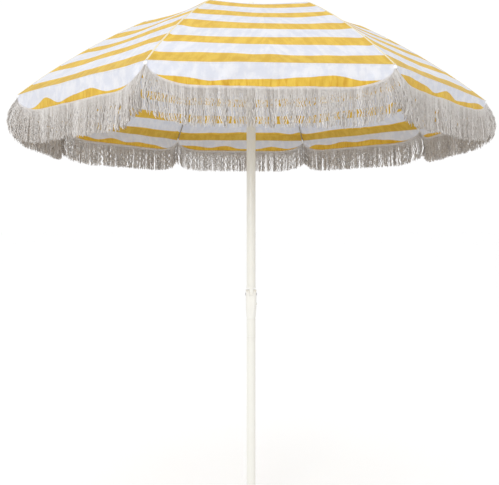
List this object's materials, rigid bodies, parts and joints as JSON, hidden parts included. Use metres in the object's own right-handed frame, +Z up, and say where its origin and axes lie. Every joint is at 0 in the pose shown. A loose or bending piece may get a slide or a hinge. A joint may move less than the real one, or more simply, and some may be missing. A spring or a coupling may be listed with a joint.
{
  "type": "beach umbrella",
  "caption": "Striped beach umbrella: ribs and struts fold on a runner, a valance carries a long fringe, and the tube pole tilts at a push-button knuckle and pulls apart.",
  "frame": {"origin": "centre of the flat foot of the pole", "axes": "+Z up along the pole, towards the crown; -Y is the side that the gore facing the viewer is on; the tilt hinge is along X"},
  "size_m": [1.7128, 1.7128, 2.2755],
  "materials": {
    "pole_paint": "cream powder coat, satin",
    "rib_lacquer": "grey-brown lacquer, satin",
    "white_plastic": "moulded, fine matt grain",
    "steel": "plated",
    "canopy_cloth": "plain-weave cotton canvas, yellow and white stripes",
    "fringe_cotton": "twisted off-white cotton cords"
  },
  "bodies": {
    "lower_pole": {"lower_pole": "pole_paint", "ground_plug": "white_plastic", "joint_bush": "white_plastic"},
    "mid_pole": {"mid_pole": "pole_paint", "tilt_fork": "white_plastic", "tilt_pin": "steel", "tilt_spring": "steel"},
    "tilt_button": {"tilt_button": "white_plastic"},
    "upper_pole": {"tilt_tongue": "white_plastic", "upper_pole": "pole_paint", "runner_stop": "white_plastic", "crown_hub": "white_plastic", "crown_wire": "steel", "crown_patch": "canopy_cloth", "finial": "white_plastic"},
    "runner_catch": {"runner_catch": "steel"},
    "runner": {"runner": "white_plastic"},
    "rib_1": {"rib_1": "rib_lacquer", "rib_tip_1": "white_plastic", "canopy_1": "canopy_cloth"},
    "rib_2": {"rib_2": "rib_lacquer", "rib_tip_2": "white_plastic", "canopy_2": "canopy_cloth"},
    "rib_3": {"rib_3": "rib_lacquer", "rib_tip_3": "white_plastic", "canopy_3": "canopy_cloth"},
    "rib_4": {"rib_4": "rib_lacquer", "rib_tip_4": "white_plastic", "canopy_4": "canopy_cloth"},
    "rib_5": {"rib_5": "rib_lacquer", "rib_tip_5": "white_plastic", "canopy_5": "canopy_cloth"},
    "rib_6": {"rib_6": "rib_lacquer", "rib_tip_6": "white_plastic", "canopy_6": "canopy_cloth"},
    "rib_7": {"rib_7": "rib_lacquer", "rib_tip_7": "white_plastic", "canopy_7": "canopy_cloth"},
    "rib_8": {"rib_8": "rib_lacquer", "rib_tip_8": "white_plastic", "canopy_8": "canopy_cloth"},
    "strut_1": {"strut_1": "rib_lacquer"},
    "strut_2": {"strut_2": "rib_lacquer"},
    "strut_3": {"strut_3": "rib_lacquer"},
    "strut_4": {"strut_4": "rib_lacquer"},
    "strut_5": {"strut_5": "rib_lacquer"},
    "strut_6": {"strut_6": "rib_lacquer"},
    "strut_7": {"strut_7": "rib_lacquer"},
    "strut_8": {"strut_8": "rib_lacquer"},
    "skirt_1": {"skirt_1": "fringe_cotton"},
    "skirt_2": {"skirt_2": "fringe_cotton"},
    "skirt_3": {"skirt_3": "fringe_cotton"},
    "skirt_4": {"skirt_4": "fringe_cotton"},
    "skirt_5": {"skirt_5": "fringe_cotton"},
    "skirt_6": {"skirt_6": "fringe_cotton"},
    "skirt_7": {"skirt_7": "fringe_cotton"},
    "skirt_8": {"skirt_8": "fringe_cotton"}
  },
  "joints": [
    {"name": "pole_pull_out", "type": "slide", "parent": "lower_pole", "child": "mid_pole", "axis": [0, 0, 1], "range_m": [0, 0.12]},
    {"name": "tilt_button_press", "type": "slide", "parent": "mid_pole", "child": "tilt_button", "axis": [-1, 0, 0], "range_m": [0, 0.0035], "stiffness_N_per_m": 600, "deforming": ["tilt_spring"]},
    {"name": "tilt", "type": "hinge", "parent": "mid_pole", "child": "upper_pole", "pos_m": [0, 0, 1.042], "axis": [1, 0, 0], "range_deg": [0, 30]},
    {"name": "catch_pop", "type": "slide", "parent": "upper_pole", "child": "runner_catch", "axis": [1, 0, 0], "range_m": [0, 0.004]},
    {"name": "runner_slide", "type": "slide", "parent": "upper_pole", "child": "runner", "axis": [0, 0, 1], "range_m": [-0.595, 0]},
    {"name": "rib_fold_1", "type": "hinge", "parent": "upper_pole", "child": "rib_1", "pos_m": [0.02956, 0.01225, 2.23669], "axis": [-0.3827, 0.9239, 0], "range_deg": [0, 58.86], "deforming": ["canopy_1", "skirt_1"]},
    {"name": "rib_fold_2", "type": "hinge", "parent": "upper_pole", "child": "rib_2", "pos_m": [0.01225, 0.02956, 2.23669], "axis": [-0.9239, 0.3827, 0], "range_deg": [0, 58.86], "deforming": ["canopy_2", "skirt_2"]},
    {"name": "rib_fold_3", "type": "hinge", "parent": "upper_pole", "child": "rib_3", "pos_m": [-0.01225, 0.02956, 2.23669], "axis": [-0.9239, -0.3827, 0], "range_deg": [0, 58.86], "deforming": ["canopy_3", "skirt_3"]},
    {"name": "rib_fold_4", "type": "hinge", "parent": "upper_pole", "child": "rib_4", "pos_m": [-0.02956, 0.01225, 2.23669], "axis": [-0.3827, -0.9239, 0], "range_deg": [0, 58.86], "deforming": ["canopy_4", "skirt_4"]},
    {"name": "rib_fold_5", "type": "hinge", "parent": "upper_pole", "child": "rib_5", "pos_m": [-0.02956, -0.01225, 2.23669], "axis": [0.3827, -0.9239, 0], "range_deg": [0, 58.86], "deforming": ["canopy_5", "skirt_5"]},
    {"name": "rib_fold_6", "type": "hinge", "parent": "upper_pole", "child": "rib_6", "pos_m": [-0.01225, -0.02956, 2.23669], "axis": [0.9239, -0.3827, 0], "range_deg": [0, 58.86], "deforming": ["canopy_6", "skirt_6"]},
    {"name": "rib_fold_7", "type": "hinge", "parent": "upper_pole", "child": "rib_7", "pos_m": [0.01225, -0.02956, 2.23669], "axis": [0.9239, 0.3827, 0], "range_deg": [0, 58.86], "deforming": ["canopy_7", "skirt_7"]},
    {"name": "rib_fold_8", "type": "hinge", "parent": "upper_pole", "child": "rib_8", "pos_m": [0.02956, -0.01225, 2.23669], "axis": [0.3827, 0.9239, 0], "range_deg": [0, 58.86], "deforming": ["canopy_8", "skirt_8"]},
    {"name": "strut_fold_1", "type": "hinge", "parent": "rib_1", "child": "strut_1", "pos_m": [0.41466, 0.17176, 2.11418], "axis": [-0.3827, 0.9239, 0], "range_deg": [-117.73, 0]},
    {"name": "strut_fold_2", "type": "hinge", "parent": "rib_2", "child": "strut_2", "pos_m": [0.17176, 0.41466, 2.11418], "axis": [-0.9239, 0.3827, 0], "range_deg": [-117.73, 0]},
    {"name": "strut_fold_3", "type": "hinge", "parent": "rib_3", "child": "strut_3", "pos_m": [-0.17176, 0.41466, 2.11418], "axis": [-0.9239, -0.3827, 0], "range_deg": [-117.73, 0]},
    {"name": "strut_fold_4", "type": "hinge", "parent": "rib_4", "child": "strut_4", "pos_m": [-0.41466, 0.17176, 2.11418], "axis": [-0.3827, -0.9239, 0], "range_deg": [-117.73, 0]},
    {"name": "strut_fold_5", "type": "hinge", "parent": "rib_5", "child": "strut_5", "pos_m": [-0.41466, -0.17176, 2.11418], "axis": [0.3827, -0.9239, 0], "range_deg": [-117.73, 0]},
    {"name": "strut_fold_6", "type": "hinge", "parent": "rib_6", "child": "strut_6", "pos_m": [-0.17176, -0.41466, 2.11418], "axis": [0.9239, -0.3827, 0], "range_deg": [-117.73, 0]},
    {"name": "strut_fold_7", "type": "hinge", "parent": "rib_7", "child": "strut_7", "pos_m": [0.17176, -0.41466, 2.11418], "axis": [0.9239, 0.3827, 0], "range_deg": [-117.73, 0]},
    {"name": "strut_fold_8", "type": "hinge", "parent": "rib_8", "child": "strut_8", "pos_m": [0.41466, -0.17176, 2.11418], "axis": [0.3827, 0.9239, 0], "range_deg": [-117.73, 0]},
    {"name": "skirt_hang_1", "type": "hinge", "parent": "rib_1", "child": "skirt_1", "pos_m": [0.84997, 0.35207, 1.8], "axis": [-0.3827, 0.9239, 0], "range_deg": [-58.86, 0]},
    {"name": "skirt_hang_2", "type": "hinge", "parent": "rib_2", "child": "skirt_2", "pos_m": [0.35207, 0.84997, 1.8], "axis": [-0.9239, 0.3827, 0], "range_deg": [-58.86, 0]},
    {"name": "skirt_hang_3", "type": "hinge", "parent": "rib_3", "child": "skirt_3", "pos_m": [-0.35207, 0.84997, 1.8], "axis": [-0.9239, -0.3827, 0], "range_deg": [-58.86, 0]},
    {"name": "skirt_hang_4", "type": "hinge", "parent": "rib_4", "child": "skirt_4", "pos_m": [-0.84997, 0.35207, 1.8], "axis": [-0.3827, -0.9239, 0], "range_deg": [-58.86, 0]},
    {"name": "skirt_hang_5", "type": "hinge", "parent": "rib_5", "child": "skirt_5", "pos_m": [-0.84997, -0.35207, 1.8], "axis": [0.3827, -0.9239, 0], "range_deg": [-58.86, 0]},
    {"name": "skirt_hang_6", "type": "hinge", "parent": "rib_6", "child": "skirt_6", "pos_m": [-0.35207, -0.84997, 1.8], "axis": [0.9239, -0.3827, 0], "range_deg": [-58.86, 0]},
    {"name": "skirt_hang_7", "type": "hinge", "parent": "rib_7", "child": "skirt_7", "pos_m": [0.35207, -0.84997, 1.8], "axis": [0.9239, 0.3827, 0], "range_deg": [-58.86, 0]},
    {"name": "skirt_hang_8", "type": "hinge", "parent": "rib_8", "child": "skirt_8", "pos_m": [0.84997, -0.35207, 1.8], "axis": [0.3827, 0.9239, 0], "range_deg": [-58.86, 0]}
  ],
  "couplings": [
    {"joint": "rib_fold_1", "follows": "runner_slide", "rad_per_m": -1.7252},
    {"joint": "rib_fold_2", "follows": "runner_slide", "rad_per_m": -1.7252},
    {"joint": "rib_fold_3", "follows": "runner_slide", "rad_per_m": -1.7252},
    {"joint": "rib_fold_4", "follows": "runner_slide", "rad_per_m": -1.7252},
    {"joint": "rib_fold_5", "follows": "runner_slide", "rad_per_m": -1.7252},
    {"joint": "rib_fold_6", "follows": "runner_slide", "rad_per_m": -1.7252},
    {"joint": "rib_fold_7", "follows": "runner_slide", "rad_per_m": -1.7252},
    {"joint": "rib_fold_8", "follows": "runner_slide", "rad_per_m": -1.7252},
    {"joint": "strut_fold_1", "follows": "runner_slide", "rad_per_m": 3.4504},
    {"joint": "strut_fold_2", "follows": "runner_slide", "rad_per_m": 3.4504},
    {"joint": "strut_fold_3", "follows": "runner_slide", "rad_per_m": 3.4504},
    {"joint": "strut_fold_4", "follows": "runner_slide", "rad_per_m": 3.4504},
    {"joint": "strut_fold_5", "follows": "runner_slide", "rad_per_m": 3.4504},
    {"joint": "strut_fold_6", "follows": "runner_slide", "rad_per_m": 3.4504},
    {"joint": "strut_fold_7", "follows": "runner_slide", "rad_per_m": 3.4504},
    {"joint": "strut_fold_8", "follows": "runner_slide", "rad_per_m": 3.4504},
    {"joint": "skirt_hang_1", "follows": "runner_slide", "rad_per_m": 1.7252},
    {"joint": "skirt_hang_2", "follows": "runner_slide", "rad_per_m": 1.7252},
    {"joint": "skirt_hang_3", "follows": "runner_slide", "rad_per_m": 1.7252},
    {"joint": "skirt_hang_4", "follows": "runner_slide", "rad_per_m": 1.7252},
    {"joint": "skirt_hang_5", "follows": "runner_slide", "rad_per_m": 1.7252},
    {"joint": "skirt_hang_6", "follows": "runner_slide", "rad_per_m": 1.7252},
    {"joint": "skirt_hang_7", "follows": "runner_slide", "rad_per_m": 1.7252},
    {"joint": "skirt_hang_8", "follows": "runner_slide", "rad_per_m": 1.7252}
  ]
}
